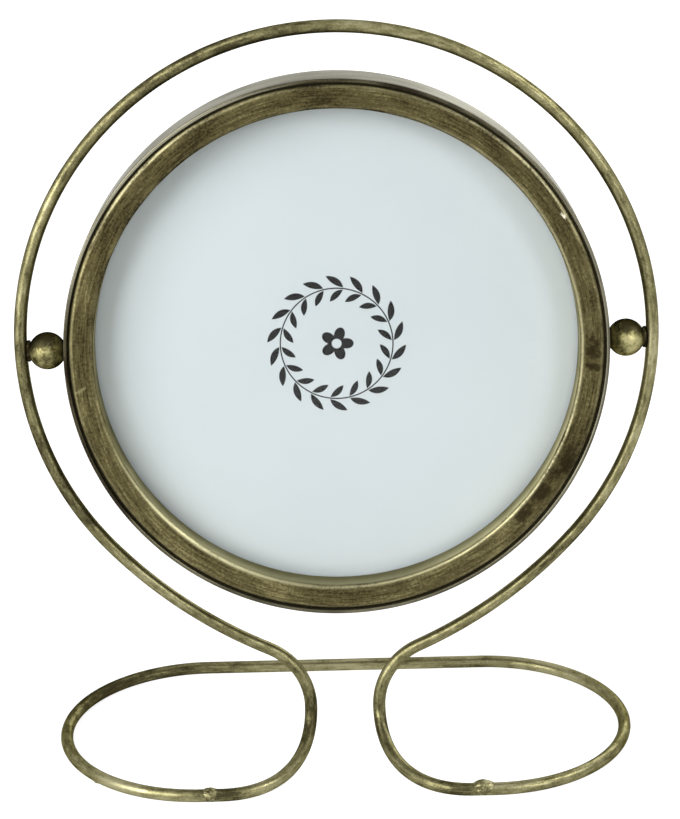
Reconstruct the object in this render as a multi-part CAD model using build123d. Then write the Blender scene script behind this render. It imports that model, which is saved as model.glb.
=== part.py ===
"""Round photo frame: a drum-shaped case that tilts between two balls inside a bent wire stand.

Millimetres, +Z up, the front faces -Y. The origin is on the table, under the middle of the base.
"""
import os
from math import cos, radians, sin, sqrt, tan

from build123d import *

# Wire of the stand
wire_diameter = 3.5
rest_flat = 0.15            # depth of the flat ground under the base
ring_lean = 5.0             # degrees that the ring leans back
leg_height = 33.0           # ring's lowest point, if it were a whole circle, over the table
ring_arc_end = 132.0        # degrees from the top where the ring runs over into the legs
run_end_half = 20.5         # half the distance between the legs where their inward run ends
run_drop = 3.0              # how far the run ends under the ring's lowest point
neck_half = 9.4             # half the distance between the two necks
neck_pull = 11.9            # how strongly a curl starts in the direction of its neck
curl_pull = 20.2            # how strongly a curl ends in the direction of the front
curl_end_half = 34.0        # half the distance between the front ends of the curls
fold_line = -11.0           # where the leaning ring's plane meets the base
base_loop_radius = 38.5
front_run = 5.5             # straight wire between a front curl and its side loop, with the weld halfway

# Welds and brazing
weld_length = 4.4
weld_height = 0.55
braze_half_height = 2.7
braze_half_depth = 1.5
braze_clearance = 0.10      # between the braze and the ring's wire

# Pivots
pivot_drop = 1.0            # pivots under the ring's centre
ball_diameter = 10.0
ball_flat_depth = 0.55      # cut off the ball where the washer lies
ball_seat_depth = 0.35      # cut off the ball where it is brazed to the ring
braze_film = 0.65           # least braze between a ball and the ring
friction_washer_thickness = 0.5
friction_washer_diameter = 6.0
pivot_gap = 0.1             # between the turning case and the washers
screw_diameter = 3.0
screw_grip = 6.0            # thread inside the ball
screw_head_diameter = 5.6
screw_head_height = 1.6
screw_slot_width = 0.9
screw_slot_depth = 0.8
spring_washer_thickness = 0.6
spring_washer_diameter = 6.0
thread_clearance = 0.02
running_clearance = 0.08
washer_clearance = 0.1

# Case
case_lean = 8.0             # degrees that the case leans back
case_diameter = 143.8
case_depth = 20.0
case_wall = 0.9
case_edge_round = 0.35
lip_bend = 1.6              # outer rounding where the rear lip turns in
bezel_thickness = 2.6
bezel_outer_round = 1.8
bezel_inner_round = 1.1
return_wall = 1.2           # wall of the bezel that reaches back to the glass
glass_recess = 8.4          # from the front of the bezel to the glass
glass_rebate = 3.7          # width of glass hidden by the bezel
solder_leg = 1.4
solder_arc = 6.0            # degrees of each tack
solder_count = 6

# Contents of the case
head_to_glass_gap = 0.9
insert_clearance = 0.4      # glass and boards through the lip
glass_thickness = 2.0
card_thickness = 0.4
board_thickness = 3.5

# Turn clips
clip_count = 4
clip_inset = 7.0            # rivet from the board's edge
clip_thickness = 0.9
clip_gap = 0.1              # clip to board and clip to rivet head
clip_lip_gap = 0.3
clip_nose_gap = 1.0         # nose to the case wall
clip_hub_radius = 4.0
clip_nose_radius = 2.2
clip_tail = 6.0             # rivet to the end of the finger tab
clip_tab_height = 1.3
clip_tab_width = 5.0
rivet_diameter = 2.4
rivet_grip = 3.0
rivet_head_diameter = 4.8
rivet_head_height = 0.9

# Sizes that follow
wire_radius = wire_diameter / 2
wire_height = wire_radius - rest_flat
ball_radius = ball_diameter / 2
case_radius = case_diameter / 2
band_inner = case_radius - case_wall
washer_inner = case_radius + pivot_gap
ball_flat = washer_inner + friction_washer_thickness
ball_place = ball_flat + ball_radius - ball_flat_depth
ball_seat = ball_place + ball_radius - ball_seat_depth
ring_radius = ball_seat + braze_film + wire_radius

washer_sag = band_inner - sqrt(band_inner**2 - (spring_washer_diameter / 2) ** 2)
spring_outer = band_inner - washer_sag - pivot_gap
head_outer = spring_outer - spring_washer_thickness
head_inner = head_outer - screw_head_height
pack_radius = head_inner - head_to_glass_gap
lip_radius = pack_radius + insert_clearance
opening_radius = pack_radius - glass_rebate

front = case_depth / 2
rear = -front
glass_front = front - glass_recess
card_front = glass_front - glass_thickness
pad_front = card_front - card_thickness
lip_front = rear + case_wall
clip_top = lip_front + clip_lip_gap
board_rear = clip_top + clip_thickness + clip_gap
board_front = board_rear + board_thickness

rivet_circle = pack_radius - clip_inset
clip_reach = band_inner - clip_nose_gap - rivet_circle

lean = radians(ring_lean)
ring_height = ring_radius + leg_height
ring_back = fold_line + (ring_height - wire_height) * tan(lean)


def leaning_plane(middle, degrees_back):
    """A plane across the frame that leans back, with x to the right and z to the front."""
    angle = radians(degrees_back)
    return Plane(origin=middle, x_dir=(1, 0, 0), z_dir=(0, -cos(angle), sin(angle)))


ring_plane = leaning_plane((0, ring_back, ring_height), ring_lean)
case_plane = leaning_plane(ring_plane.from_local_coords((0, -pivot_drop, 0)), case_lean)


def in_ring(shape):
    """Move a shape drawn about the ring's centre (x right, y up, z to the front) to its place."""
    return ring_plane.location * shape


def in_case(shape):
    """Move a shape drawn about the pivot (x right, y up, z to the front) to its place."""
    return case_plane.location * shape


def both_sides(shape):
    """The shape and its mirror image on the other side of the frame."""
    return Compound([shape, mirror(shape, about=Plane.YZ)])


def turned(corners):
    """A turned ring: its section as (radius, height, rounding of the corner)."""
    outline = FilletPolyline(
        *[(radius, height) for radius, height, _ in corners],
        radius=[rounding for _, _, rounding in corners],
        close=True,
    )
    return revolve(Plane.XZ * make_face(outline), Axis.Z)


def disc(radius, top, thickness):
    """A flat round sheet in the case, with its front face at the height top."""
    return extrude(Plane.XY.offset(top - thickness) * Circle(radius), thickness)


def pivot_rod(radius, start, end):
    """A round rod on the right half of the pivot axis."""
    return extrude(Plane.YZ.offset(start) * Circle(radius), end - start)


def table():
    """The table under the whole frame, with its top at height 0."""
    reach = 4 * ring_radius
    return Pos(0, 0, -wire_radius) * Box(reach, reach, wire_diameter)


def bent_wire(path):
    """Round wire along a path, ground flat where it stands on the table."""
    section = Plane(origin=path @ 0, z_dir=path % 0) * Circle(wire_radius)
    return sweep(section, path=path) - table()


def leg_path():
    """Centreline of the right leg, from the end of the ring's arc down to the front weld."""
    arc_end = radians(ring_arc_end)
    arc_tangent = Vector(cos(arc_end), -sin(arc_end))
    leave = Vector(ring_radius * sin(arc_end), ring_radius * cos(arc_end))
    run_end = Vector(run_end_half, -ring_radius - run_drop)
    run = TangentArc(leave, run_end, tangent=arc_tangent)
    slope = run % 1
    neck_radius = (run_end_half - neck_half) / (1 + slope.Y)
    neck_top = Vector(neck_half, run_end.Y + neck_radius * slope.X)
    neck = TangentArc(run_end, neck_top, tangent=slope)
    in_leaning_part = [in_ring(run), in_ring(neck)]

    neck_end = in_leaning_part[-1] @ 1
    heading = in_leaning_part[-1] % 1
    outwards = Vector(1, 0, 0)
    curl_end = Vector(curl_end_half, -base_loop_radius, wire_height)
    curl = Bezier(neck_end, neck_end + heading * neck_pull, curl_end - outwards * curl_pull, curl_end)
    front_line = Line(curl_end, curl_end + outwards * (front_run / 2))
    return in_leaning_part + [curl, front_line]


right_leg = leg_path()
weld_point = right_leg[-1] @ 1


def ring_wire():
    """Ring, legs, necks and front curls, bent from one length of wire."""
    arc_end = radians(ring_arc_end)
    right = (ring_radius * sin(arc_end), ring_radius * cos(arc_end))
    left = (-right[0], right[1])
    ring = in_ring(ThreePointArc(left, (0, ring_radius), right))
    left_leg = [edge.mirror(Plane.YZ) for edge in right_leg]
    return bent_wire(Wire(left_leg + [ring] + right_leg))


def base_wire():
    """Back bar and side loops, bent from a second length of wire."""
    loop_start = weld_point + Vector(front_run / 2, 0, 0)
    loop_side = loop_start + Vector(base_loop_radius, base_loop_radius, 0)
    loop_end = loop_start + Vector(0, 2 * base_loop_radius, 0)
    side = [Line(weld_point, loop_start), ThreePointArc(loop_start, loop_side, loop_end)]
    back_bar = Line(loop_end, (-loop_end.X, loop_end.Y, loop_end.Z))
    return bent_wire(Wire(side + [back_bar] + [edge.mirror(Plane.YZ) for edge in side]))


def front_welds():
    """Beads round the two butt joints between the wires, ground flat like the wires."""
    half = weld_length / 2
    crown = ThreePointArc((-half, wire_radius), (0, wire_radius + weld_height), (half, wire_radius))
    bore = Line((half, wire_radius), (-half, wire_radius))
    bead = Pos(weld_point) * revolve(make_face(crown + bore), Axis.X)
    return both_sides(bead - table())


def plain_ball():
    """Right ball with its two flats, before it is tapped."""
    flat_radius = sqrt(ball_radius**2 - (ball_place - ball_flat) ** 2)
    seat_radius = sqrt(ball_radius**2 - (ball_seat - ball_place) ** 2)
    flats = Polyline((ball_flat, flat_radius), (ball_flat, 0), (ball_seat, 0), (ball_seat, seat_radius))
    side = ThreePointArc((ball_seat, seat_radius), (ball_place, ball_radius), (ball_flat, flat_radius))
    return revolve(make_face(flats + side), Axis.X)


def pivot_ball():
    """Right ball, faced and tapped towards the case and faced towards the ring."""
    tapped = pivot_rod(screw_diameter / 2 + thread_clearance, ball_flat, ball_flat + screw_grip)
    return in_case(plain_ball() - tapped)


def ball_brazing():
    """Fillets of braze between the balls and the ring."""
    section = Plane.YZ.offset(ball_place) * Ellipse(braze_half_height, braze_half_depth)
    block = extrude(section, ring_radius - ball_place)
    room_for_wire = in_ring(Torus(ring_radius, wire_radius + braze_clearance))
    return both_sides(in_case(block - plain_ball()) - room_for_wire)


def pivot_screws():
    """Slotted pan head screws through the case wall into the balls."""
    shank = pivot_rod(screw_diameter / 2, head_outer, ball_flat + screw_grip - thread_clearance)
    head = pivot_rod(screw_head_diameter / 2, head_inner, head_outer)
    rim = head.edges().group_by(Axis.X)[0]
    head = fillet(rim, screw_slot_depth / 2)
    slot = Pos(head_inner, 0, 0) * Box(2 * screw_slot_depth, screw_head_diameter * 2, screw_slot_width)
    return both_sides(in_case(shank + head - slot))


def friction_washers():
    """Fibre washers between the balls and the case."""
    hole = pivot_rod(screw_diameter / 2 + washer_clearance, washer_inner, ball_flat)
    return both_sides(in_case(pivot_rod(friction_washer_diameter / 2, washer_inner, ball_flat) - hole))


def spring_washers():
    """Thin washers under the screw heads, inside the case."""
    hole = pivot_rod(screw_diameter / 2 + washer_clearance, head_outer, spring_outer)
    return both_sides(in_case(pivot_rod(spring_washer_diameter / 2, head_outer, spring_outer) - hole))


def case_band():
    """Side wall of the case, with its rear edge turned in and two holes for the pivot screws."""
    band = turned(
        [
            (case_radius, rear, lip_bend),
            (case_radius, front, case_edge_round),
            (band_inner, front, case_edge_round),
            (band_inner, lip_front, lip_bend - case_wall),
            (lip_radius, lip_front, case_edge_round),
            (lip_radius, rear, case_edge_round),
        ]
    )
    hole = pivot_rod(screw_diameter / 2 + running_clearance, -case_diameter, case_diameter)
    return in_case(band - hole)


def front_bezel():
    """Ring on the front, with rounded edges and a return wall down to the glass."""
    back = front - bezel_thickness
    return in_case(
        turned(
            [
                (opening_radius, front, bezel_inner_round),
                (band_inner, front, bezel_outer_round),
                (band_inner, back, 0),
                (opening_radius + return_wall, back, 0),
                (opening_radius + return_wall, glass_front, 0),
                (opening_radius, glass_front, 0),
            ]
        )
    )


def bezel_solder():
    """Tacks of solder in the corner between the bezel and the band."""
    corner = Vector(band_inner, front - bezel_thickness)
    section = make_face(
        Polyline(corner, corner - Vector(solder_leg, 0), corner - Vector(0, solder_leg), close=True)
    )
    tack = revolve(Plane.XZ * section, Axis.Z, revolution_arc=solder_arc)
    step = 360 / solder_count
    return in_case(Compound([Rot(0, 0, step * (turn + 0.5)) * tack for turn in range(solder_count)]))


def clip_places():
    """The frame of each turn clip: x to the case wall, z to the rear."""
    places = []
    for turn in range(clip_count):
        angle = radians(360 / clip_count * (turn + 0.5))
        outward = Vector(cos(angle), sin(angle))
        centre = outward * rivet_circle + Vector(0, 0, board_rear)
        places.append(Plane(origin=centre, x_dir=outward, z_dir=(0, 0, -1)))
    return places


def backing_board():
    """Fibre board that closes the case, drilled for the rivets."""
    board = disc(pack_radius, board_front, board_thickness)
    for place in clip_places():
        hole = place.location * Cylinder(rivet_diameter / 2 + thread_clearance, 2 * rivet_grip)
        board -= hole
    return in_case(board)


def turn_clip(place):
    """Turning clip with a nose for the case's lip and a bent up finger tab."""
    nose_middle = clip_reach - clip_nose_radius
    tail_corner = clip_hub_radius / 4
    tail_middle = tail_corner - clip_tail
    tail_half = clip_tab_width / 2 - tail_corner
    rounds = [Circle(clip_hub_radius), Pos(nose_middle, 0) * Circle(clip_nose_radius)]
    rounds += [Pos(tail_middle, side * tail_half) * Circle(tail_corner) for side in (-1, 1)]
    outline = make_hull([edge for circle in rounds for edge in circle.edges()])
    blank = extrude(Plane.XY.offset(clip_gap) * outline, clip_thickness)
    tab_middle = clip_gap + clip_thickness + clip_tab_height / 2
    tab = Pos(clip_thickness / 2 - clip_tail, 0, tab_middle) * Box(
        clip_thickness, clip_tab_width - 2 * tail_corner, clip_tab_height
    )
    hole = Cylinder(rivet_diameter / 2 + running_clearance, 4 * clip_thickness)
    return in_case(place.location * (blank + tab - hole))


def clip_rivets():
    """Round head rivets that the clips turn on."""
    seat = clip_gap + clip_thickness + clip_gap
    half = rivet_diameter / 2
    head_half = rivet_head_diameter / 2
    rim = rivet_head_height / 4
    top = seat + rivet_head_height
    sides = Polyline(
        (0, top),
        (0, -rivet_grip),
        (half, -rivet_grip),
        (half, seat),
        (head_half, seat),
        (head_half, seat + rim),
    )
    dome = TangentArc((0, top), (head_half, seat + rim), tangent=(1, 0))
    rivet = revolve(Plane.XZ * make_face(sides + dome), Axis.Z)
    return in_case(Compound([place.location * rivet for place in clip_places()]))


def nodes():
    """Every piece of the frame by its name."""
    right_ball = pivot_ball()
    pieces = {
        "ring_wire": ring_wire(),
        "base_wire": base_wire(),
        "front_welds": front_welds(),
        "pivot_ball_right": right_ball,
        "pivot_ball_left": mirror(right_ball, about=Plane.YZ),
        "ball_brazing": ball_brazing(),
        "pivot_screws": pivot_screws(),
        "friction_washers": friction_washers(),
        "spring_washers": spring_washers(),
        "case_band": case_band(),
        "front_bezel": front_bezel(),
        "bezel_solder": bezel_solder(),
        "glass_pane": in_case(disc(pack_radius, glass_front, glass_thickness)),
        "photo_card": in_case(disc(pack_radius, card_front, card_thickness)),
        "filler_pad": in_case(disc(pack_radius, pad_front, pad_front - board_front)),
        "backing_board": backing_board(),
        "clip_rivets": clip_rivets(),
    }
    for number, place in enumerate(clip_places(), start=1):
        pieces[f"turn_clip_{number}"] = turn_clip(place)
    return pieces


os.makedirs("parts", exist_ok=True)
for name, shape in nodes().items():
    export_step(shape, f"parts/{name}.step")
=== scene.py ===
"""Looks of the round photo frame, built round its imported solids. Metres, +Z up, the front faces -Y."""

from math import cos, pi, radians, sin, tan

import bmesh
import bpy
from mathutils import Matrix, Vector, noise


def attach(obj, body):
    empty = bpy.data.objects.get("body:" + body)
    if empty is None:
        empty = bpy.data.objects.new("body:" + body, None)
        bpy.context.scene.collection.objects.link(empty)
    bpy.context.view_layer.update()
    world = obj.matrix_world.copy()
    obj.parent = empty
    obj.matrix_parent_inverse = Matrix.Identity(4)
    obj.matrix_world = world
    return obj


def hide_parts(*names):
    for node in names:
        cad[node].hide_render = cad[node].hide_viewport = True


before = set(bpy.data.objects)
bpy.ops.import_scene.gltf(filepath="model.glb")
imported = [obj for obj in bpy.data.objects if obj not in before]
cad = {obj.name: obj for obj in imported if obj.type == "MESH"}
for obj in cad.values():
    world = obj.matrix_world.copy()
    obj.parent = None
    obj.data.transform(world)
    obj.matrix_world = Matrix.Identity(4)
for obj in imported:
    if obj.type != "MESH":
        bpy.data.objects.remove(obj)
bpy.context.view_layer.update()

MM = 0.001

# Stand, in millimetres and degrees
wire_radius = 1.75
wire_inset = 0.01           # keeps the bent wire inside its solid
wire_height = 1.6           # middle of the wire over the table
wire_step = 0.5             # from section to section along the wire
wire_uneven = (0.05, 5.0)   # depth and size of its dents
ring_radius = 84.0
ring_height = 117.0
ring_lean = 5.0
ring_arc_end = 132.0
run_end_half = 20.5
run_drop = 3.0
neck_half = 9.4
neck_pull = 11.9
curl_pull = 20.2
curl_end_half = 34.0
fold_line = -11.0
base_loop_radius = 38.5
front_run = 5.5
pivot_drop = 1.0
ball_place = 76.95          # ball from the middle of the case
ball_radius = 5.0

# Lacquer drop on the left loop, in millimetres
drop_height = 0.9
drop_spread = 1.6           # its reach, in heights
drop_aside = 31.0           # from the left weld
drop_front = -26.5
drop_level = 0.6

# Welds and brazing, in millimetres
weld_reach = (3.4, 2.1, 2.15)
weld_lift = 0.6
small_weld_reach = (3.0, 1.95, 1.95)
small_weld_lift = 0.15
weld_share = 0.97           # mean size of a bead, as a share of its reach
weld_lumps = (0.10, 1.8)    # height as a share of the reach, and closeness
weld_ripples = (0.04, 5.0)
weld_fineness = 5           # halvings of its faces
braze_ring = 2.0
braze_bead = 0.8
braze_sink = 0.1            # how deep the braze sits in the ball
braze_squash = (0.7, 1.15)  # depth and height of the collar, as a share of a circle's
braze_step = 0.2
braze_uneven = (0.5, 1.2)

# Case, in millimetres and degrees
case_lean = 8.0
case_radius = 71.9
case_half_depth = 10.0
case_wall = 0.9
case_edge_round = 0.35
case_step = 1.0
lip_bend = 1.6
pack_radius = 67.737        # glass and boards
lip_clearance = 0.4
band_uneven = (0.06, 9.0)
glass_rebate = 3.7
bezel_thickness = 2.6
bezel_outer_round = 1.8
bezel_inner_round = 1.1
bezel_uneven = (0.10, 6.0)
return_wall = 1.2
glass_recess = 8.4
glass_thickness = 2.0
glass_gap = 0.06            # air between the glass and the card
glass_edge = 0.3
glass_sides = 180
glass_index = 1.45
glass_mirror = 0.4          # share of a full mirror image
clip_edge = 0.18            # rounding of the clips' edges
rivet_edge = 0.10

# Print on the card, in millimetres and degrees
wreath_radius = 15.0
leaf_count = 18
leaf_half_length = 2.7
leaf_half_width = 0.95
leaf_offset = 1.9
leaf_tilt = 38.0
stem_half_width = 0.25
blossom_radius = 4.6
blossom_core = 0.3          # share of the blossom
petal_count = 5
print_edge = 0.15           # softness of the ink's edge

# Fineness of the shapes, in steps, degrees and millimetres
path_fineness = 64
section_fineness = 8
edge_fineness = 3
crease_angle = 40.0         # edges sharper than this stay sharp
glass_crease_angle = 20.0
rounded_angle = 35.0        # edges of a solid sharper than this are rounded
flat_angle = 1.0            # faces of a solid closer than this become one
same_point = 0.0001         # points closer than this become one
same_solid_point = 0.001
no_lowest = -1000.0         # far below the table
dent_seed = 3               # shifts the dents

# Camera, in degrees, millimetres and pixels
camera_elevation = 21.43
camera_roll = -1.34
camera_target = (0.48, 0, 96.84)
camera_distance = 800.0
focal_length = 2977.0
picture_height = 819.0
sensor_size = 36.0
camera_near = 10.0
camera_far = 100000.0

# Lamps: place, width and height in metres, and watts
LAMPS = {
    "left": ((-0.85, -0.85, 0.64), 0.95, 1.15, 20.6),
    "right": ((0.72, -0.95, 0.55), 0.42, 0.66, 4.4),
    "top": ((0.90, -0.25, 0.98), 0.30, 0.30, 4.4),
    "back": ((0.55, 0.95, 0.60), 0.75, 0.75, 4.0),
}
lamp_aim = (0, 0, 0.11)

# Surrounding and floor
surrounding_light = 0.16    # share of the white surrounding that lights the frame
floor_reach = 20.0          # metres
floor_glow = 0.82
floor_far_glow = 0.14       # added far away
floor_far = (200.0, 900.0)  # millimetres

band_inner = case_radius - case_wall
lip_radius = pack_radius + lip_clearance
opening_radius = pack_radius - glass_rebate
glass_front = case_half_depth - glass_recess
ring_back = fold_line + (ring_height - wire_height) * tan(radians(ring_lean))

# Zones of the case's finishes, with its painted highlights and shade: middle and half width of a ring, in
# millimetres
band_highlight_ring = (band_inner + 0.3, 0.3)
outer_edge_ring = (band_inner - 0.95, 0.85)
inner_edge_ring = (opening_radius + 0.45, 0.95)
groove_width = 0.30         # of the groove beside the band

# Zones of the case's finishes, with its painted highlights and shade: where they begin and are full, in
# millimetres behind its front
band_rim_shade_depth = (2.8, 0.2)
band_highlight_depth = (0.3, 0.0)
outer_edge_depth = (1.0, 0.1)
inner_edge_depth = (1.6, 0.5)
wall_depth = (0.6, 1.3)
wall_painted_light_depth = (7.4, 1.4)


def leaning(middle, degrees_back):
    """Place of a part that leans back: x right, y up, z to the front, in millimetres."""
    return Matrix.Translation(middle) @ Matrix.Rotation(radians(90 - degrees_back), 4, "X")


# Places of the stand, the ring and the case
level = Matrix.Identity(4)
ring_place = leaning((0, ring_back, ring_height), ring_lean)
case_place = leaning(ring_place @ Vector((0, -pivot_drop, 0)), case_lean)


# Node trees


class Amount:
    """A number that changes over a surface. Sums on it add Math nodes."""

    def __init__(self, tree, socket):
        self.tree = tree
        self.socket = socket

    def maths(self, operation, *values):
        sockets = dict(enumerate((self,) + values))
        return self.tree.amount("ShaderNodeMath", {"operation": operation}, sockets)

    def __add__(self, other):
        return self.maths("ADD", other)

    def __sub__(self, other):
        return self.maths("SUBTRACT", other)

    def __mul__(self, other):
        return self.maths("MULTIPLY", other)

    def __truediv__(self, other):
        return self.maths("DIVIDE", other)

    def __neg__(self):
        return self.maths("MULTIPLY", -1.0)

    def __abs__(self):
        return self.maths("ABSOLUTE")

    def __pow__(self, other):
        return self.maths("POWER", other)

    def __radd__(self, other):
        return self.maths("ADD", other)

    def __rmul__(self, other):
        return self.maths("MULTIPLY", other)

    def __rsub__(self, other):
        return -self + other

    def __rtruediv__(self, other):
        return self ** -1.0 * other

    def ramp(self, low, high):
        """0 at low, 1 at high, smooth between them."""
        sockets = {"Value": self, "From Min": low, "From Max": high}
        return self.tree.amount("ShaderNodeMapRange", {"interpolation_type": "SMOOTHSTEP"}, sockets)

    def near(self, middle, reach):
        """1 at the middle, 0 at the reach to both sides of it."""
        return 1 - abs(self - middle).ramp(0.0, reach)


class Tree:
    """Adds nodes to a node tree."""

    def __init__(self, tree):
        self.tree = tree

    def node(self, kind, settings=None, sockets=None):
        made = self.tree.nodes.new(kind)
        for name, value in (settings or {}).items():
            setattr(made, name, value)
        for name, value in (sockets or {}).items():
            self.feed(made.inputs[name], value)
        return made

    def feed(self, socket, value):
        if isinstance(value, Amount):
            value = value.socket
        if isinstance(value, bpy.types.NodeSocket):
            self.tree.links.new(value, socket)
        elif socket.type == "RGBA" and len(value) == 3:
            socket.default_value = (*value, 1.0)
        else:
            socket.default_value = value

    def amount(self, kind, settings=None, sockets=None, output=0):
        return Amount(self, self.node(kind, settings, sockets).outputs[output])

    def vector(self, x, y, z):
        return self.node("ShaderNodeCombineXYZ", None, {"X": x, "Y": y, "Z": z}).outputs[0]

    def split(self, vector):
        parts = self.node("ShaderNodeSeparateXYZ", None, {0: vector}).outputs
        return [Amount(self, part) for part in parts]

    def distance(self, first, second):
        sockets = {0: first, 1: second}
        return self.amount("ShaderNodeVectorMath", {"operation": "DISTANCE"}, sockets, "Value")

    def noise(self, vector, scale=1.0, detail=2.0, roughness=0.5):
        sockets = {"Vector": vector, "Scale": scale, "Detail": detail, "Roughness": roughness}
        return self.amount("ShaderNodeTexNoise", {"noise_dimensions": "3D"}, sockets)


class Finish(Tree):
    """A procedural material with one glossy shader."""

    def __init__(self, name, **sockets):
        self.material = bpy.data.materials.new(name)
        self.material.use_nodes = True
        super().__init__(self.material.node_tree)
        self.tree.nodes.clear()
        self.shader = self.node("ShaderNodeBsdfPrincipled")
        self.node("ShaderNodeOutputMaterial", None, {"Surface": self.shader.outputs[0]})
        self.set(**sockets)

    def set(self, **sockets):
        for name, value in sockets.items():
            self.feed(self.shader.inputs[name.replace("_", " ")], value)

    def place(self, place):
        """Millimetres in a place of the frame, from the object's own coordinates."""
        sockets = {
            "Vector": self.node("ShaderNodeTexCoord").outputs["Object"],
            "Location": place.translation * MM,
            "Rotation": place.to_euler(),
            "Scale": (MM, MM, MM),
        }
        return self.node("ShaderNodeMapping", {"vector_type": "TEXTURE"}, sockets).outputs[0]

    def stretched(self, where, scale):
        return self.node("ShaderNodeMapping", None, {"Vector": where, "Scale": scale}).outputs[0]

    def attribute(self, name):
        return self.amount("ShaderNodeAttribute", {"attribute_name": name}, None, "Fac")

    def mix(self, share, first, second):
        made = self.node("ShaderNodeMix", {"data_type": "RGBA"}, {0: share, 6: first, 7: second})
        return made.outputs[2]

    def bump(self, height, distance, strength):
        sockets = {"Strength": strength, "Distance": distance * MM, "Height": height}
        self.set(Normal=self.node("ShaderNodeBump", None, sockets).outputs[0])


class CasePlace:
    """Places in the case: radius, depth to the front, and how far right and up round it."""

    def __init__(self, fin):
        self.where = fin.place(case_place)
        x, y, self.depth = fin.split(self.where)
        self.radius = (x * x + y * y) ** 0.5
        self.right = x / self.radius
        self.up = y / self.radius
        # How far a place faces the lower right, where light is painted onto the case
        self.lower_right_light = (self.right * 0.8 - self.up * 0.6).ramp(-0.6, 0.6)

    def behind_front(self, start, full):
        """0 at one depth behind the case's front, 1 at the other."""
        return self.depth.ramp(case_half_depth - start, case_half_depth - full)


# Colours of the finishes, linear
umber = (0.014, 0.010, 0.004)
dark_brass = (0.045, 0.039, 0.018)
olive_brass = (0.180, 0.166, 0.080)
pale_brass = (0.400, 0.375, 0.225)
bare_brass = (0.850, 0.800, 0.620)
ball_olive = (0.180, 0.164, 0.070)
ball_pale = (0.420, 0.385, 0.195)
band_dark = (0.085, 0.077, 0.043)
band_light = (0.255, 0.242, 0.170)
# Painted shade of the band's front rim
band_rim_shade = (0.085, 0.076, 0.042)
# Painted highlights on the band's front edge
band_edge_highlight = (0.180, 0.172, 0.130)
band_edge_highlight_pale = (0.300, 0.290, 0.220)
bezel_dark = (0.024, 0.019, 0.008)
bezel_olive = (0.082, 0.069, 0.029)
bezel_light = (0.200, 0.176, 0.082)
groove_dark = (0.080, 0.070, 0.050)
# Painted light that lifts the groove's shade at the lower right
groove_painted_light = (0.300, 0.270, 0.190)
# Painted shade deep on the wall down to the glass, and painted light at its front and sides
wall_deep_shade = (0.250, 0.235, 0.145)
wall_front_lit = (0.420, 0.395, 0.260)
wall_deep_side_lit = (0.360, 0.340, 0.220)
wall_front_side_lit = (0.690, 0.640, 0.410)
card_grey = (0.604, 0.664, 0.681)
card_pale = (0.625, 0.680, 0.693)
ink_colour = (0.004, 0.003, 0.003)
glass_colour = (0.960, 0.990, 0.980)
board_dark = (0.150, 0.095, 0.055)
board_light = (0.290, 0.200, 0.125)
board_fleck = (0.070, 0.042, 0.026)
floor_colour = (0.500, 0.500, 0.500)
white = (1.0, 1.0, 1.0)

# Tints of the metals where they are seen at a slant
dark_slant = (0.0, 0.0, 0.0)
wire_slant = (0.35, 0.35, 0.32)
band_slant = (0.8, 0.8, 0.76)
bezel_slant = (0.2, 0.18, 0.12)

# Plain metals: dark colour, light colour and closeness of the marks
PLAIN_METALS = {
    "zinc_screw": ((0.36, 0.35, 0.32), (0.52, 0.51, 0.47), 1.5),
    "zinc_sheet": ((0.36, 0.35, 0.32), (0.55, 0.54, 0.50), 0.9),
    "spring_steel": ((0.20, 0.20, 0.19), (0.32, 0.31, 0.30), 1.5),
    "solder": ((0.30, 0.30, 0.28), (0.48, 0.48, 0.45), 1.2),
    "rivet_brass": ((0.40, 0.30, 0.12), (0.60, 0.47, 0.22), 1.5),
}

# Fibre and board: dark colour and light colour
FIBRES = {
    # The washers' near-black colour is painted shade: it makes the gap between each ball and the case read
    # as a shadow
    "washer_fibre": ((0.006, 0.005, 0.003), (0.020, 0.016, 0.010)),
    "corrugated_board": ((0.26, 0.17, 0.09), (0.36, 0.25, 0.14)),
}

# Darker and lighter lengths of the wires: middle, reach and change of tone
WIRE_LENGTHS = (
    ((-76, -4, 81), 40, -0.08),
    ((-32, 7, 195), 56, -0.07),
    ((84, -1, 108), 22, 0.07),
    ((64, -5, 62), 24, -0.03),
    ((6, 38.5, 1.6), 64, 0.055),
    ((-64, 30, 1.6), 46, -0.12),
    ((64, 30, 1.6), 24, 0.07),
    ((-62, -31, 1.6), 22, 0.07),
    ((-10, -12, 10), 12, -0.09),
    ((10, -12, 10), 10, -0.02),
    ((-24, -34, 2), 12, 0.07),
    ((-33, -38.5, 2.6), 10, -0.10),
    ((30, -38.5, 2.6), 9, -0.07),
)

# Darker and lighter lengths of the bezel: place, reach and change of tone
BEZEL_LENGTHS = (
    (-47, -48, 42, 0.045),
    (63, -25, 26, -0.035),
    (40, 54, 34, -0.03),
    (-48, 47, 38, -0.03),
    (0, 68, 30, -0.03),
    (-66, 10, 22, 0.02),
)

# A scratch, a chip and dark spots on the bezel: colour, place, direction, half length and half width
BEZEL_MARKS = (
    (olive_brass, (-67.9, -9.0), 30, 1.9, 0.5),
    (bare_brass, (59.7, 34.9), -55, 1.2, 0.6),
    (umber, (67.4, -1.4), 85, 4.4, 2.3),
    (umber, (67.8, -5.6), -12, 3.0, 1.2),
    (umber, (60.3, -31.3), 62, 5.2, 2.6),
    (umber, (53.3, -39.6), 52, 3.6, 2.3),
    (umber, (48.4, -45.4), 45, 3.8, 1.9),
)


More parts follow.
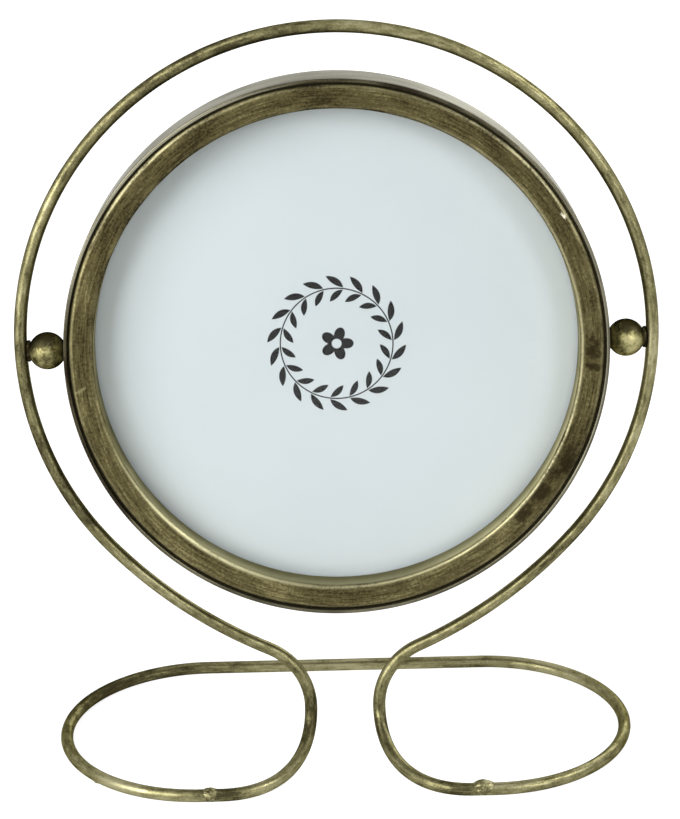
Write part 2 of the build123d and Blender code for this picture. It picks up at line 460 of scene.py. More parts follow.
def wire_finish():
    """Antique brass on drawn wire: dark lengths, blotches, streaks along the wire and fine pits."""
    fin = Finish("wire_patina", Metallic=1.0, Specular_Tint=wire_slant)
    along = fin.attribute("along") / MM
    turn = fin.attribute("around") * (2 * pi)
    side = turn.maths("COSINE")
    top = turn.maths("SINE")
    where = fin.place(level)
    patches = fin.noise(fin.vector(along * 0.05, side * 0.5, top * 0.5), detail=3.0, roughness=0.6)
    blotches = fin.noise(fin.vector(along * 0.22, side * 0.9, top * 0.9), detail=3.0, roughness=0.65)
    streaks = fin.noise(fin.vector(along * 0.25, side * 2.0, top * 2.0), detail=4.0, roughness=0.65)
    pits = fin.noise(where, scale=2.0, detail=3.0, roughness=0.65)
    tone = patches * 0.3 + blotches * 0.3 + streaks * 0.2 + pits * 0.2
    for middle, reach, change in WIRE_LENGTHS:
        tone = tone + fin.distance(where, middle).near(0.0, reach) * change
    colour = fin.mix(tone.ramp(0.38, 0.54), dark_brass, olive_brass)
    colour = fin.mix(tone.ramp(0.50, 0.62) * 0.6, colour, pale_brass)
    fin.set(Base_Color=colour, Roughness=0.42 - tone.ramp(0.40, 0.60) * 0.08)
    fin.bump(streaks * 0.4 + pits * 0.6, distance=0.07, strength=0.5)
    return fin.material


def ball_finish():
    """Antique brass on the balls, with painted shade darkening their upper half and painted light making
    the right ball paler.
    """
    fin = Finish("ball_patina", Metallic=1.0, Specular_Tint=dark_slant)
    where = fin.place(level)
    patches = fin.noise(where, scale=0.22, detail=3.0, roughness=0.6)
    pits = fin.noise(where, scale=1.6, detail=3.0, roughness=0.6)
    right, up, _ = fin.split(fin.place(case_place))
    # Painted shade darkens the upper half of each ball; the next line paints light onto the right ball
    tone = patches * 0.7 + pits * 0.3 - up.ramp(0.0, ball_radius) * 0.18
    tone = tone + right.ramp(-ball_place, ball_place) * 0.06 - 0.05
    colour = fin.mix(tone.ramp(0.34, 0.48), dark_brass, ball_olive)
    colour = fin.mix(tone.ramp(0.44, 0.58) * 0.75, colour, ball_pale)
    fin.set(Base_Color=colour, Roughness=0.46 - tone.ramp(0.4, 0.6) * 0.06)
    fin.bump(pits, distance=0.03, strength=0.3)
    return fin.material


def band_finish():
    """Satin antique brass on the case's side, with fine lines round it, painted shade on its front rim and
    painted highlights along its front edge.
    """
    fin = Finish("band_patina", Metallic=0.85, Specular_Tint=band_slant)
    at = CasePlace(fin)
    across = at.depth * 2.2 + at.radius
    lines = fin.noise(fin.vector(at.right * 5, at.up * 5, across), detail=4.0, roughness=0.6)
    patches = fin.noise(fin.vector(at.right * 3, at.up * 3, at.depth * 0.12), detail=2.0, roughness=0.5)
    pits = fin.noise(at.where, scale=2.2, detail=2.0, roughness=0.6)
    tone = patches * 0.4 + lines * 0.4 + pits * 0.2
    colour = fin.mix(tone.ramp(0.34, 0.58), band_dark, band_light)
    # Where the band faces the upper left, from where the light falls; used to paint light there
    upper_left_light = (at.up * 0.7 - at.right * 0.7).ramp(0.75, 0.95)
    # Painted shade on the front rim, lifted at the upper left and the lower right where light falls on it
    rim_shade = at.behind_front(*band_rim_shade_depth) * (1 - at.lower_right_light * 0.4 - upper_left_light * 0.7)
    colour = fin.mix(rim_shade, colour, fin.mix(tone.ramp(0.42, 0.60), umber, band_rim_shade))
    # Painted highlight: a light line along the band's front edge, at the right and the upper left
    edge_highlight = at.behind_front(*band_highlight_depth) * at.radius.near(*band_highlight_ring)
    colour = fin.mix(edge_highlight * at.right.ramp(0.6, 1.0) * 0.7, colour, band_edge_highlight)
    colour = fin.mix(edge_highlight * upper_left_light * 0.8, colour, band_edge_highlight_pale)
    fin.set(Base_Color=colour, Roughness=0.42 - tone.ramp(0.4, 0.6) * 0.08)
    fin.bump(lines * 0.6 + pits * 0.4, distance=0.04, strength=0.5)
    return fin.material


def mark(fin, where, middle, degrees, length, width):
    """1 in the middle of a mark that lies in this direction on the case's front, 0 at its edge."""
    x, y, _ = fin.split(where)
    x, y = x - middle[0], y - middle[1]
    ahead, aside = cos(radians(degrees)), sin(radians(degrees))
    along = (x * ahead + y * aside) / length
    across = (y * ahead - x * aside) / width
    return 1 - along * along - across * across


def marked(fin, at, lines, colour):
    """The bezel's colour with its marks, which are ragged along its brushed lines."""
    clumps = fin.noise(at.where, scale=0.45, detail=3.0, roughness=0.6)
    ragged = (clumps - 0.5) * 3.2 + (lines - 0.5) * 3.6
    for shade, middle, degrees, length, width in BEZEL_MARKS:
        spot = mark(fin, at.where, middle, degrees, length, width) + ragged
        colour = fin.mix(spot.ramp(-0.1, 0.9) * 0.8, colour, shade)
    return colour


def bezel_wear_and_highlight(at):
    """How far the bezel is rubbed bright and carries painted highlights: its outer edge at the shoulders,
    its inner edge low down.
    """
    outer = at.radius.near(*outer_edge_ring) * at.behind_front(*outer_edge_depth)
    inner = at.radius.near(*inner_edge_ring) * at.behind_front(*inner_edge_depth)
    # Painted highlights where the bezel's edges face the light: the inner edge low down, the outer edge at
    # the upper shoulders
    lower_left_highlight = at.right.ramp(-0.1, -0.5) * at.up.ramp(-0.3, -0.7)
    shoulder_highlight = at.up.near(0.68, 0.36) * (0.40 + at.right.ramp(-1.0, 1.0) * 0.30)
    return outer * (shoulder_highlight + 0.14) + inner * (at.lower_right_light * 0.42 + lower_left_highlight * 0.60 + 0.10)


def return_wall_shading(fin, at):
    """Colour of the wall down to the glass, with painted shade deep down and painted light to the front
    and at the sides.
    """
    sideways_light = abs(at.right).ramp(0.1, 0.7) * (at.lower_right_light * 0.55 + 0.45)
    deep = fin.mix(sideways_light, wall_deep_shade, wall_deep_side_lit)
    front = fin.mix(sideways_light, wall_front_lit, wall_front_side_lit)
    return fin.mix(at.behind_front(*wall_painted_light_depth), deep, front)


def bezel_finish():
    """Brushed dark brass on the bezel, rubbed bright on its edges with painted highlights, its groove
    beside the band given painted light at the lower right.
    """
    fin = Finish("bezel_patina", Specular_Tint=bezel_slant)
    at = CasePlace(fin)
    lines = fin.noise(fin.vector(at.right * 8, at.up * 8, at.radius * 2.0), detail=5.0, roughness=0.7)
    patches = fin.noise(fin.vector(at.right * 3, at.up * 3, at.radius * 0.10), detail=3.0, roughness=0.6)
    pits = fin.noise(at.where, scale=1.3, detail=4.0, roughness=0.7)
    tone = patches * 0.32 + lines * 0.40 + pits * 0.28
    for x, y, reach, change in BEZEL_LENGTHS:
        tone = tone + fin.distance(at.where, (x, y, case_half_depth)).near(0.0, reach) * change
    colour = fin.mix(tone.ramp(0.40, 0.53), bezel_dark, bezel_olive)
    colour = fin.mix(tone.ramp(0.51, 0.62), colour, bezel_light)
    colour = marked(fin, at, lines, colour)
    # Rubbing and painted highlights on the bezel's edges
    colour = fin.mix(bezel_wear_and_highlight(at) * tone.ramp(0.36, 0.52), colour, pale_brass)
    # The groove beside the band gets its own, less metallic colour; at the lower right it is lighter,
    # painted light against its shade
    groove = at.radius.ramp(band_inner - groove_width, band_inner)
    groove_light = at.right.near(0.75, 0.5) * at.up.ramp(0.1, -0.3)
    colour = fin.mix(groove, colour, fin.mix(groove_light, groove_dark, groove_painted_light))
    # The wall down to the glass carries painted shade and painted light
    wall = at.behind_front(*wall_depth)
    colour = fin.mix(wall * 0.92, colour, return_wall_shading(fin, at))
    fin.set(Base_Color=colour, Metallic=1 - groove * 0.9)
    fin.set(Roughness=0.50 - tone.ramp(0.4, 0.62) * 0.14)
    fin.bump(lines * 0.55 + pits * 0.45, distance=0.06, strength=0.6)
    return fin.material


def weld_finish():
    """Lacquered weld metal, a little darker in patches."""
    fin = Finish("weld_patina", Metallic=1.0, Specular_Tint=wire_slant)
    where = fin.place(level)
    lumps = fin.noise(where, scale=0.55, detail=3.0, roughness=0.6)
    pits = fin.noise(where, scale=2.4, detail=3.0, roughness=0.6)
    tone = lumps * 0.6 + pits * 0.4
    colour = fin.mix(tone.ramp(0.36, 0.52), dark_brass, olive_brass)
    colour = fin.mix(tone.ramp(0.48, 0.62) * 0.6, colour, pale_brass)
    fin.set(Base_Color=colour, Roughness=0.45 - lumps.ramp(0.4, 0.6) * 0.1)
    fin.bump(lumps * 0.5 + pits * 0.5, distance=0.06, strength=0.4)
    return fin.material


def braze_finish():
    """Dark braze between the balls and the ring."""
    fin = Finish("braze_patina", Metallic=0.8, Specular_Tint=dark_slant)
    where = fin.place(level)
    lumps = fin.noise(where, scale=0.8, detail=3.0, roughness=0.6)
    colour = fin.mix(lumps.ramp(0.45, 0.65), umber, dark_brass)
    fin.set(Base_Color=colour, Roughness=0.55 - lumps.ramp(0.4, 0.6) * 0.15)
    fin.bump(lumps, distance=0.12, strength=0.6)
    return fin.material


def leaf_row(angle, radius, middle, tilt):
    """1 on a row of pointed leaves that stand round a circle at this tilt."""
    along = (angle * (leaf_count / (2 * pi))).maths("FRACT") - 0.5
    along = along * (2 * pi * wreath_radius / leaf_count)
    out = radius - middle
    ahead, aside = cos(radians(tilt)), sin(radians(tilt))
    length = (along * ahead + out * aside) / leaf_half_length
    width = abs(out * ahead - along * aside)
    return (leaf_half_width * (1 - length * length) - width).ramp(0.0, print_edge)


def printed_wreath(fin, where):
    """1 on the ink of a small wreath with a blossom in its middle."""
    x, y, _ = fin.split(where)
    radius = (x * x + y * y) ** 0.5
    angle = y.maths("ARCTAN2", x)
    outer = leaf_row(angle, radius, wreath_radius + leaf_offset, leaf_tilt)
    inner = leaf_row(angle, radius, wreath_radius - leaf_offset, -leaf_tilt)
    stem = (stem_half_width - abs(radius - wreath_radius)).ramp(0.0, print_edge)
    petals = abs((angle * (petal_count / 2)).maths("COSINE")) * 0.5 + 0.5
    blossom = (blossom_radius * petals - radius).ramp(0.0, print_edge)
    core = (blossom_radius * blossom_core - radius).ramp(0.0, print_edge)
    return (outer + inner + stem + blossom - core).maths("MINIMUM", 1.0).maths("MAXIMUM", 0.0)


def card_finish():
    """Pale matt card with a faint grain and a small printed wreath."""
    fin = Finish("pale_card", Roughness=0.75, Specular_IOR_Level=0.05)
    where = fin.place(case_place)
    grain = fin.noise(where, scale=3.0, detail=3.0, roughness=0.6)
    clouds = fin.noise(where, scale=0.03, detail=2.0, roughness=0.5)
    tone = grain * 0.5 + clouds * 0.5
    colour = fin.mix(tone.ramp(0.35, 0.65), card_grey, card_pale)
    ink = printed_wreath(fin, where) * (0.985 + grain * 0.015)
    fin.set(Base_Color=fin.mix(ink, colour, ink_colour))
    fin.bump(grain, distance=0.005, strength=0.05)
    return fin.material


def glass_finish():
    """Clear thin glass: it only mirrors a little, and more at a slant."""
    fin = Finish("clear_glass", Base_Color=glass_colour, Metallic=1.0)
    smears = fin.noise(fin.place(case_place), scale=0.05, detail=3.0, roughness=0.6)
    fin.set(Alpha=fin.amount("ShaderNodeFresnel", None, {"IOR": glass_index}) * glass_mirror)
    fin.set(Roughness=0.02 + smears * 0.03)
    return fin.material


def board_finish():
    """Brown fibreboard with short fibres and flecks."""
    fin = Finish("backing_fibreboard")
    where = fin.place(case_place)
    fibres = fin.noise(fin.stretched(where, (1, 0.3, 1)), scale=1.6, detail=5.0, roughness=0.65)
    flecks = fin.noise(fin.stretched(where, (0.35, 1, 1)), scale=0.9, detail=4.0, roughness=0.7)
    clouds = fin.noise(where, scale=0.06, detail=3.0, roughness=0.55)
    tone = fibres * 0.4 + flecks * 0.3 + clouds * 0.3
    colour = fin.mix(tone.ramp(0.38, 0.62), board_dark, board_light)
    colour = fin.mix(flecks.ramp(0.62, 0.70) * 0.6, colour, board_fleck)
    fin.set(Base_Color=colour, Roughness=0.62 + fibres * 0.2)
    fin.bump(fibres * 0.6 + flecks * 0.4, distance=0.08, strength=0.6)
    return fin.material


def plain_metal(name):
    """Plain plated metal with faint rolling marks."""
    dark, light, closeness = PLAIN_METALS[name]
    fin = Finish(name, Metallic=1.0)
    lengthwise = fin.stretched(fin.place(case_place), (0.2, 1, 1))
    marks = fin.noise(lengthwise, scale=closeness, detail=4.0, roughness=0.6)
    fin.set(Base_Color=fin.mix(marks.ramp(0.35, 0.65), dark, light), Roughness=0.28 + marks * 0.2)
    fin.bump(marks, distance=0.02, strength=0.4)
    return fin.material


def fibre_finish(name):
    """Matt fibre or board."""
    dark, light = FIBRES[name]
    fin = Finish(name)
    grain = fin.noise(fin.place(case_place), scale=1.4, detail=4.0, roughness=0.6)
    fin.set(Base_Color=fin.mix(grain.ramp(0.3, 0.7), dark, light), Roughness=0.7 + grain * 0.2)
    fin.bump(grain, distance=0.05, strength=0.4)
    return fin.material


# Shapes


class Bend:
    """A centreline of straight runs, arcs and sweeps that follow on smoothly, as Bezier knots."""

    def __init__(self, start, heading):
        start = Vector(start)
        self.knots = [[start, start, start]]
        self.heading = Vector(heading).normalized()

    def straight_to(self, end):
        start, end = self.knots[-1][0], Vector(end)
        third = (end - start) / 3
        self.knots[-1][2] = start + third
        self.knots.append([end, end - third, end])
        self.heading = third.normalized()

    def sweep_to(self, end, heading, pull, end_pull):
        """A free bend to an end and a heading there, with a pull along the heading at both ends."""
        self.knots[-1][2] = self.knots[-1][0] + self.heading * pull
        self.knots.append([end, end - heading * end_pull, end])
        self.heading = heading

    def arc_to(self, end, pieces):
        """A round arc in so many pieces."""
        chord = Vector(end) - self.knots[-1][0]
        axis = self.heading.cross(chord).normalized()
        turn = 2 * self.heading.angle(chord)
        radius = chord.length / (2 * sin(turn / 2))
        centre = self.knots[-1][0] + axis.cross(self.heading) * radius
        step = Matrix.Rotation(turn / pieces, 3, axis)
        reach = 4 / 3 * tan(turn / pieces / 4) * radius
        for _ in range(pieces):
            here = self.knots[-1][0]
            self.knots[-1][2] = here + self.heading * reach
            there = centre + step @ (here - centre)
            self.heading = step @ self.heading
            self.knots.append([there, there - self.heading * reach, there])


def with_mirror_image(half):
    """Knots of a whole wire, from those of its right half, which start in the middle."""
    flip = Matrix.Diagonal((-1, 1, 1))
    left = [[flip @ point, flip @ after, flip @ before] for point, before, after in reversed(half)]
    middle = [half[0][0], left[-1][1], half[0][2]]
    return left[:-1] + [middle] + half[1:]


def rounded_outline(corners):
    """Knots of a closed outline from its corners: x, y and rounding."""
    points = [Vector((x, y, 0)) for x, y, _ in corners]
    knots = []
    for number, point in enumerate(points):
        rounding = corners[number][2]
        if rounding == 0:
            knots.append([point, point, point])
            continue
        before = (points[number - 1] - point).normalized()
        after = (points[(number + 1) % len(points)] - point).normalized()
        corner = before.angle(after)
        cut = rounding / tan(corner / 2)
        reach = 4 / 3 * tan((pi - corner) / 4) * rounding
        start, end = point + before * cut, point + after * cut
        knots.append([start, start, start - before * reach])
        knots.append([end, end - after * reach, end])
    return knots


def circle(radius):
    """Knots of a circle round the origin."""
    bend = Bend((radius, 0, 0), (0, 1, 0))
    for quarter in (1, 2, 3, 4):
        turn = quarter * pi / 2
        bend.arc_to((radius * cos(turn), radius * sin(turn), 0), 1)
    first, last = bend.knots[0], bend.knots.pop()
    first[1] = last[1]
    return bend.knots


def curve(name, knots, closed, fineness):
    """A Bezier curve object through knots in millimetres, with so many steps from knot to knot."""
    data = bpy.data.curves.new(name, "CURVE")
    data.dimensions = "3D"
    spline = data.splines.new("BEZIER")
    spline.bezier_points.add(len(knots) - 1)
    spline.use_cyclic_u = closed
    spline.resolution_u = fineness
    for bezier, (point, before, after) in zip(spline.bezier_points, knots):
        bezier.handle_left_type = "VECTOR" if before == point else "FREE"
        bezier.handle_right_type = "VECTOR" if after == point else "FREE"
        bezier.co = point * MM
        bezier.handle_left = before * MM
        bezier.handle_right = after * MM
    made = bpy.data.objects.new(name, data)
    bpy.context.scene.collection.objects.link(made)
    return made


SWEPT_INPUTS = {
    "Path": "NodeSocketObject",
    "Section": "NodeSocketObject",
    "Spacing": "NodeSocketFloat",
    "Unevenness": "NodeSocketFloat",
    "Unevenness size": "NodeSocketFloat",
    "Lowest": "NodeSocketFloat",
    "Drop place": "NodeSocketVector",
    "Drop height": "NodeSocketFloat",
    "Seed": "NodeSocketInt",
    "Finish": "NodeSocketMaterial",
}


def stored(tree, geometry, name, value):
    """The geometry with a value of each point stored under a name."""
    sockets = {"Geometry": geometry, "Name": name, "Value": value}
    return tree.node("GeometryNodeStoreNamedAttribute", {"data_type": "FLOAT"}, sockets).outputs[0]


def drawn_along(tree, given):
    """The section drawn along the path, with the way along and around stored."""
    spline = tree.node("GeometryNodeSplineParameter").outputs
    path = tree.node("GeometryNodeObjectInfo", None, {0: given["Path"]}).outputs["Geometry"]
    sockets = {"Curve": path, "Length": given["Spacing"]}
    path = tree.node("GeometryNodeResampleCurve", {"mode": "LENGTH"}, sockets).outputs[0]
    section = tree.node("GeometryNodeObjectInfo", None, {0: given["Section"]}).outputs["Geometry"]
    section = tree.node("GeometryNodeResampleCurve", {"mode": "EVALUATED"}, {"Curve": section}).outputs[0]
    sockets = {
        "Curve": stored(tree, path, "along", spline["Length"]),
        "Profile Curve": stored(tree, section, "around", spline["Factor"]),
        "Fill Caps": True,
    }
    return tree.node("GeometryNodeCurveToMesh", None, sockets).outputs[0]


def unevenness(tree, given):
    """Shift of the surface: shallow dents all over it, and one drop that stands out."""
    position = tree.node("GeometryNodeInputPosition").outputs[0]
    x, y, z = tree.split(position)
    shifted = tree.vector(x + Amount(tree, given["Seed"]), y, z)
    dents = tree.noise(shifted, scale=1 / Amount(tree, given["Unevenness size"])) - 1.0
    away = tree.distance(position, given["Drop place"])
    height = Amount(tree, given["Drop height"])
    drop = (1 - away.ramp(0.0, height * drop_spread)) * height
    normal = tree.node("GeometryNodeInputNormal").outputs[0]
    sockets = {0: normal, "Scale": dents * Amount(tree, given["Unevenness"]) + drop}
    return tree.node("ShaderNodeVectorMath", {"operation": "SCALE"}, sockets).outputs[0]


def not_below(tree, given):
    """Position of the surface, raised where it lies below the lowest level."""
    x, y, z = tree.split(tree.node("GeometryNodeInputPosition").outputs[0])
    return tree.vector(x, y, z.maths("MAXIMUM", Amount(tree, given["Lowest"])))


def swept_tree():
    """Node tree that draws a section along a path and makes its surface a little uneven."""
    group = bpy.data.node_groups.new("swept_section", "GeometryNodeTree")
    for name, kind in SWEPT_INPUTS.items():
        group.interface.new_socket(name, in_out="INPUT", socket_type=kind)
    group.interface.new_socket("Geometry", in_out="OUTPUT", socket_type="NodeSocketGeometry")
    tree = Tree(group)
    given = tree.node("NodeGroupInput").outputs
    mesh = drawn_along(tree, given)
    sockets = {"Geometry": mesh, "Offset": unevenness(tree, given)}
    mesh = tree.node("GeometryNodeSetPosition", None, sockets).outputs[0]
    sockets = {"Geometry": mesh, "Position": not_below(tree, given)}
    mesh = tree.node("GeometryNodeSetPosition", None, sockets).outputs[0]
    mesh = tree.node("GeometryNodeRealizeInstances", None, {0: mesh}).outputs[0]
    sockets = {"Geometry": mesh, "Material": given["Finish"]}
    mesh = tree.node("GeometryNodeSetMaterial", None, sockets).outputs[0]
    tree.node("NodeGroupOutput", None, {0: mesh})
    return group


def grown(name, group, values):
    """The plain mesh that a node tree grows with these values of its inputs."""
    host = bpy.data.objects.new(name + "_host", bpy.data.meshes.new(name + "_host"))
    bpy.context.scene.collection.objects.link(host)
    modifier = host.modifiers.new("grow", "NODES")
    modifier.node_group = group
    for item in group.interface.items_tree:
        if item.in_out == "INPUT" and item.name in values:
            modifier[item.identifier] = values[item.name]
    bpy.context.view_layer.update()
    evaluated = host.evaluated_get(bpy.context.evaluated_depsgraph_get())
    mesh = bpy.data.meshes.new_from_object(evaluated)
    bpy.data.objects.remove(host)
    mesh.name = name
    return mesh


def in_metres(place):
    """A place in millimetres, with its shift in metres."""
    metres = place.copy()
    metres.translation *= MM
    return metres


swept_group = swept_tree()


def swept(
    name,
    path,
    section,
    finish,
    step,
    uneven,
    closed=False,
    lowest=no_lowest,
    place=level,
    drop=None,
):
    """The mesh of a section drawn along a path, both given as knots."""
    path_curve = curve(name + "_path", path, closed, path_fineness)
    section_curve = curve(name + "_section", section, True, section_fineness)
    values = {
        "Path": path_curve,
        "Section": section_curve,
        "Spacing": step * MM,
        "Unevenness": uneven[0] * MM,
        "Unevenness size": uneven[1] * MM,
        "Lowest": lowest * MM,
        "Drop place": (drop or Vector()) * MM,
        "Drop height": drop_height * MM if drop else 0.0,
        "Seed": dent_seed,
        "Finish": finish,
    }
    mesh = grown(name, swept_group, values)
    for used in (path_curve, section_curve):
        bpy.data.objects.remove(used)
    mesh.transform(in_metres(place))
    return mesh


def finished(name, mesh, body, replaced, crease=crease_angle):
    """Makes a piece of the frame from its mesh: faces outwards, smooth but for its sharp edges."""
    shape = bmesh.new()
    shape.from_mesh(mesh)
    bmesh.ops.remove_doubles(shape, verts=shape.verts, dist=same_point * MM)
    if shape.calc_volume(signed=True) < 0:
        bmesh.ops.reverse_faces(shape, faces=shape.faces)
    for face in shape.faces:
        face.smooth = True
    shape.to_mesh(mesh)
    shape.free()
    mesh.set_sharp_from_angle(angle=radians(crease))
    piece = bpy.data.objects.new(name, mesh)
    bpy.context.scene.collection.objects.link(piece)
    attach(piece, body)
    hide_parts(*replaced)


def mesh_of(name, shape, finish):
    """The mesh of a shape with one finish. The shape is used up."""
    mesh = bpy.data.meshes.new(name)
    mesh.materials.append(finish)
    shape.to_mesh(mesh)
    shape.free()
    return mesh


def ring_half():
    """Right half of the ring wire, from the top of the ring down to the front weld."""
    end = radians(ring_arc_end)
    ring = Bend((0, ring_radius, 0), (1, 0, 0))
    ring.arc_to((ring_radius * sin(end), ring_radius * cos(end), 0), 4)
    run_end = Vector((run_end_half, -ring_radius - run_drop, 0))
    ring.arc_to(run_end, 2)
    neck_radius = (run_end_half - neck_half) / (1 + ring.heading.y)
    ring.arc_to((neck_half, run_end.y + neck_radius * ring.heading.x, 0), 2)

    ring.knots = [[ring_place @ part for part in knot] for knot in ring.knots]
    ring.heading = ring_place.to_3x3() @ ring.heading
    outwards = Vector((1, 0, 0))
    curl_end = Vector((curl_end_half, -base_loop_radius, wire_height))
    ring.sweep_to(curl_end, outwards, neck_pull, curl_pull)
    ring.straight_to(curl_end + outwards * (front_run / 2))
    return ring.knots


ring_knots = ring_half()
weld_point = ring_knots[-1][0]


def base_half():
    """Right half of the base wire, from the middle of the back bar round to the front weld."""
    loop_start = weld_point + Vector((front_run / 2, 0, 0))
    base = Bend((0, base_loop_radius, wire_height), (1, 0, 0))
    base.straight_to((loop_start.x, base_loop_radius, wire_height))
    base.arc_to(loop_start, 4)
    base.straight_to(weld_point)
    return base.knots


def pane(name, radius, front, thickness, bevel, finish):
    """The mesh of a round pane in the case with ground edges."""
    shape = bmesh.new()
    sizes = {"radius1": radius * MM, "radius2": radius * MM, "depth": thickness * MM}
    bmesh.ops.create_cone(shape, cap_ends=True, segments=glass_sides, **sizes)
    rims = [edge for edge in shape.edges if edge.verts[0].co.z * edge.verts[1].co.z > 0]
    bmesh.ops.bevel(shape, geom=rims, offset=bevel * MM, segments=1, affect="EDGES")
    mesh = mesh_of(name, shape, finish)
    place = case_place @ Matrix.Translation((0, 0, front - thickness / 2))
    mesh.transform(in_metres(place))
    return mesh


def joined(name, meshes):
    """One mesh from several with the same finish."""
    shape = bmesh.new()
    for mesh in meshes:
        shape.from_mesh(mesh)
    return mesh_of(name, shape, meshes[0].materials[0])


def bulge(point, middle, height, closeness):
    """How far a lumpy bead stands out at a point."""
    return noise.noise(Vector(point) * closeness + middle) * height


def weld_bead(name, middle, reach, finish):
    """The mesh of a lumpy bead of weld that lies over the joint of the two wires."""
    shape = bmesh.new()
    bmesh.ops.create_icosphere(shape, subdivisions=weld_fineness, radius=1.0)
    for vert in shape.verts:
        vert.co *= weld_share + bulge(vert.co, middle, *weld_lumps) + bulge(vert.co, middle, *weld_ripples)
        vert.co = [size * share for size, share in zip(reach, vert.co)]
        vert.co += middle
        vert.co.z = max(vert.co.z, 0.0)
        vert.co *= MM
    return mesh_of(name, shape, finish)


def softened(name, node, rounding, finish):
    """The mesh of a solid with its sharp edges rounded."""
    shape = bmesh.new()
    shape.from_mesh(cad[node].data)
    bmesh.ops.remove_doubles(shape, verts=shape.verts, dist=same_solid_point * MM)
    flat = radians(flat_angle)
    bmesh.ops.dissolve_limit(shape, angle_limit=flat, verts=shape.verts, edges=shape.edges)
    least = radians(rounded_angle)
    sharp = [edge for edge in shape.edges if edge.is_manifold and edge.calc_face_angle() > least]
    sizes = {"offset": rounding * MM, "segments": edge_fineness}
    bmesh.ops.bevel(shape, geom=sharp, affect="EDGES", clamp_overlap=True, **sizes)
    return mesh_of(name, shape, finish)


def braze_collar(name, side, finish):
    """The mesh of the lumpy braze between a ball and the ring."""
    across = side * (ball_place + ball_radius - braze_sink)
    upright = Matrix.Rotation(pi / 2, 4, "Y") @ Matrix.Diagonal((*braze_squash, 1.0, 1.0))
    place = case_place @ Matrix.Translation((across, 0, 0)) @ upright
    path = circle(braze_ring)
    section = circle(braze_bead)
    return swept(name, path, section, finish, braze_step, braze_uneven, closed=True, place=place)


def build_wires():
    """The ring wire and the base wire with its lacquer drop."""
    finish = wire_finish()
    section = circle(wire_radius - wire_inset)
    lacquer_drop = Vector((-weld_point.x - drop_aside, drop_front, drop_level))
    wires = (
        ("ring_wire", ring_knots, None),
        ("base_wire", base_half(), lacquer_drop),
    )
    for name, half, drop in wires:
        bent = name + "_bent"
        path = with_mirror_image(half)
        mesh = swept(bent, path, section, finish, wire_step, wire_uneven, lowest=0.0, drop=drop)
        finished(bent, mesh, "stand", [name])


def build_welds():
    """The two front welds, the right one larger, and the braze between the balls and the ring."""
    weld = weld_finish()
    right_point = weld_point + Vector((0, 0, weld_lift))
    left_point = Vector((-weld_point.x, weld_point.y, weld_point.z + small_weld_lift))
    right = weld_bead("weld_right", right_point, weld_reach, weld)
    left = weld_bead("weld_left", left_point, small_weld_reach, weld)
    mesh = joined("front_weld_beads", [right, left])
    finished("front_weld_beads", mesh, "stand", ["front_welds"])

    braze = braze_finish()
    collars = [braze_collar("braze", side, braze) for side in (1, -1)]
    mesh = joined("ball_braze_collars", collars)
    finished("ball_braze_collars", mesh, "stand", ["ball_brazing"])


def dress(finishes):
    """Puts finishes on the solids that keep their own shape."""
    for node, finish in finishes.items():
        cad[node].material_slots[0].material = finish


def build_stand():
    """Wires, welds, brazing, balls, washers and screws."""
    build_wires()
    build_welds()
    ball = ball_finish()
    finishes = {
        "pivot_ball_right": ball,
        "pivot_ball_left": ball,
        "friction_washers": fibre_finish("washer_fibre"),
        "pivot_screws": plain_metal("zinc_screw"),
        "spring_washers": plain_metal("spring_steel"),
    }
    dress(finishes)


def round_case(name, corners, finish, uneven):
    """The mesh of a section round the case, from its corners: radius, depth and rounding."""
    section = [(radius - case_radius, -depth, rounding) for radius, depth, rounding in corners]
    outline = rounded_outline(section)
    path = circle(case_radius)
    return swept(name, path, outline, finish, case_step, uneven, closed=True, place=case_place)


def build_band():
    """The case's side with its lip."""
    front, rear = case_half_depth, -case_half_depth
    lip_front = rear + case_wall
    corners = [
        (case_radius, rear, lip_bend),
        (case_radius, front, case_edge_round),
        (band_inner, front, case_edge_round),
        (band_inner, lip_front, lip_bend - case_wall),
        (lip_radius, lip_front, case_edge_round),
        (lip_radius, rear, case_edge_round),
    ]
    mesh = round_case("case_band_rolled", corners, band_finish(), band_uneven)
    finished("case_band_rolled", mesh, "case", ["case_band"])


def build_bezel():
    """The ring on the front, with its wall down to the glass."""
    front = case_half_depth
    back = front - bezel_thickness
    wall = opening_radius + return_wall
    corners = [
        (opening_radius, front, bezel_inner_round),
        (band_inner, front, bezel_outer_round),
        (band_inner, back, 0),
        (wall, back, 0),
        (wall, glass_front, 0),
        (opening_radius, glass_front, 0),
    ]
    mesh = round_case("front_bezel_turned", corners, bezel_finish(), bezel_uneven)
    finished("front_bezel_turned", mesh, "case", ["front_bezel"])


def build_glass():
    """The pane behind the bezel."""
    name = "glass_pane_ground"
    thickness = glass_thickness - glass_gap
    mesh = pane(name, pack_radius, glass_front, thickness, glass_edge, glass_finish())
    finished(name, mesh, "case", ["glass_pane"], crease=glass_crease_angle)


def build_clips():
    """The four turn clips and their rivets."""
    zinc = plain_metal("zinc_sheet")
    for number in (1, 2, 3, 4):
        clip = f"turn_clip_{number}"
        mesh = softened(clip + "_pressed", clip, clip_edge, zinc)
        finished(clip + "_pressed", mesh, f"clip_{number}", [clip])
    mesh = softened("clip_rivets_set", "clip_rivets", rivet_edge, plain_metal("rivet_brass"))
    finished("clip_rivets_set", mesh, "case", ["clip_rivets"])


def build_case():
    """Band, bezel, glass, clips, rivets, solder, card and boards."""
    build_band()
    build_bezel()
    build_glass()
    build_clips()
    finishes = {
        "bezel_solder": plain_metal("solder"),
        "photo_card": card_finish(),
        "filler_pad": fibre_finish("corrugated_board"),
        "backing_board": board_finish(),
    }
    dress(finishes)


# Camera, light and floor


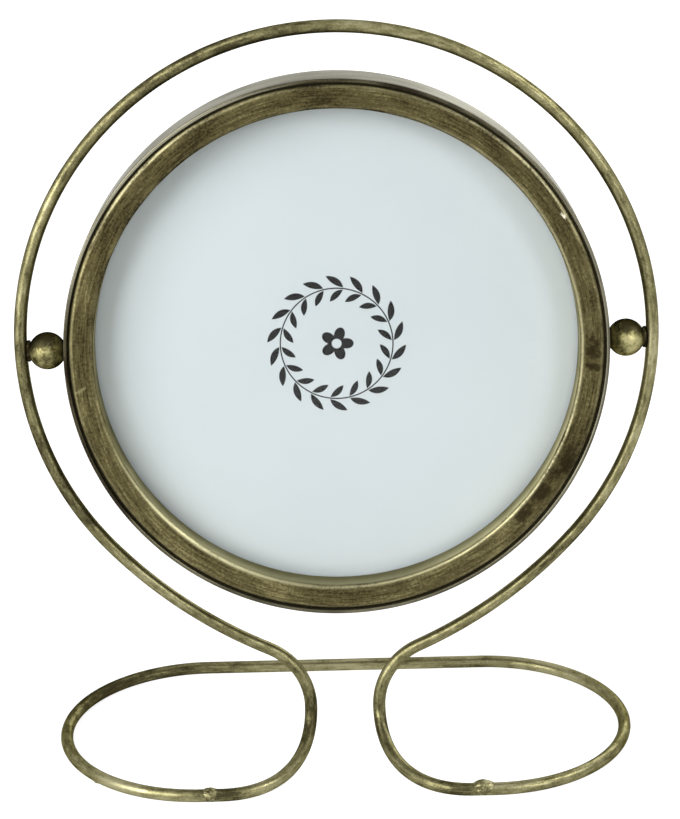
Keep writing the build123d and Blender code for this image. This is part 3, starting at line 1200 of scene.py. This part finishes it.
def camera():
    """The photo's view: 680 by 819 pixels, from the front and above."""
    elevation, roll = radians(camera_elevation), radians(camera_roll)
    ahead = Vector((0, cos(elevation), -sin(elevation)))
    up = Vector((0, sin(elevation), cos(elevation)))
    right = Vector((1, 0, 0))
    across = right * cos(roll) + up * sin(roll)
    upright = up * cos(roll) - right * sin(roll)
    data = bpy.data.cameras.new("camera")
    data.lens = focal_length * sensor_size / picture_height
    data.sensor_width = sensor_size
    data.clip_start = camera_near * MM
    data.clip_end = camera_far * MM
    made = bpy.data.objects.new("camera", data)
    turn = Matrix((across, upright, -ahead)).transposed().to_4x4()
    place = Vector(camera_target) * MM - ahead * (camera_distance * MM)
    made.matrix_world = Matrix.Translation(place) @ turn
    bpy.context.scene.collection.objects.link(made)
    bpy.context.scene.camera = made


def soft_light(name, place, width, height, watts):
    """A soft lamp aimed at the middle of the frame."""
    data = bpy.data.lights.new(name, "AREA")
    data.shape = "RECTANGLE"
    data.size = width
    data.size_y = height
    data.energy = watts
    made = bpy.data.objects.new(name, data)
    aim = Vector(lamp_aim) - Vector(place)
    made.matrix_world = Matrix.Translation(place) @ aim.to_track_quat("-Z", "Y").to_matrix().to_4x4()
    bpy.context.scene.collection.objects.link(made)


def seen_directly(tree):
    """1 for what the camera, a mirror or glass shows, 0 for what only lights."""
    path = tree.node("ShaderNodeLightPath").outputs
    total = Amount(tree, path["Is Camera Ray"]) + Amount(tree, path["Is Glossy Ray"])
    return (total + Amount(tree, path["Is Transmission Ray"])).maths("MINIMUM", 1.0)


def surrounding():
    """A white surrounding that lights the frame only a little."""
    world = bpy.data.worlds.new("surrounding")
    world.use_nodes = True
    bpy.context.scene.world = world
    tree = Tree(world.node_tree)
    world.node_tree.nodes.clear()
    strength = surrounding_light + seen_directly(tree) * (1 - surrounding_light)
    back = tree.node("ShaderNodeBackground", None, {"Color": white, "Strength": strength})
    tree.node("ShaderNodeOutputWorld", None, {"Surface": back.outputs[0]})


def floor_finish():
    """A pale floor that glows a little more far away."""
    fin = Finish("pale_floor", Base_Color=floor_colour, Roughness=0.9, Specular_IOR_Level=0.0)
    x, y, _ = fin.split(fin.place(level))
    far = ((x * x + y * y) ** 0.5).ramp(*floor_far)
    glow = seen_directly(fin) * (floor_glow + far * floor_far_glow)
    fin.set(Emission_Color=fin.vector(glow, glow, glow), Emission_Strength=1.0)
    return fin.material


def studio():
    """Soft lamps, a pale surrounding and a pale floor."""
    bpy.context.scene.view_settings.view_transform = "Standard"
    surrounding()
    for name, lamp in LAMPS.items():
        soft_light(name, *lamp)

    mesh = bpy.data.meshes.new("floor")
    signs = ((-1, -1), (1, -1), (1, 1), (-1, 1))
    corners = [(x * floor_reach, y * floor_reach, 0) for x, y in signs]
    mesh.from_pydata(corners, [], [(0, 1, 2, 3)])
    mesh.materials.append(floor_finish())
    floor = bpy.data.objects.new("floor", mesh)
    bpy.context.scene.collection.objects.link(floor)


build_stand()
build_case()
camera()
studio()
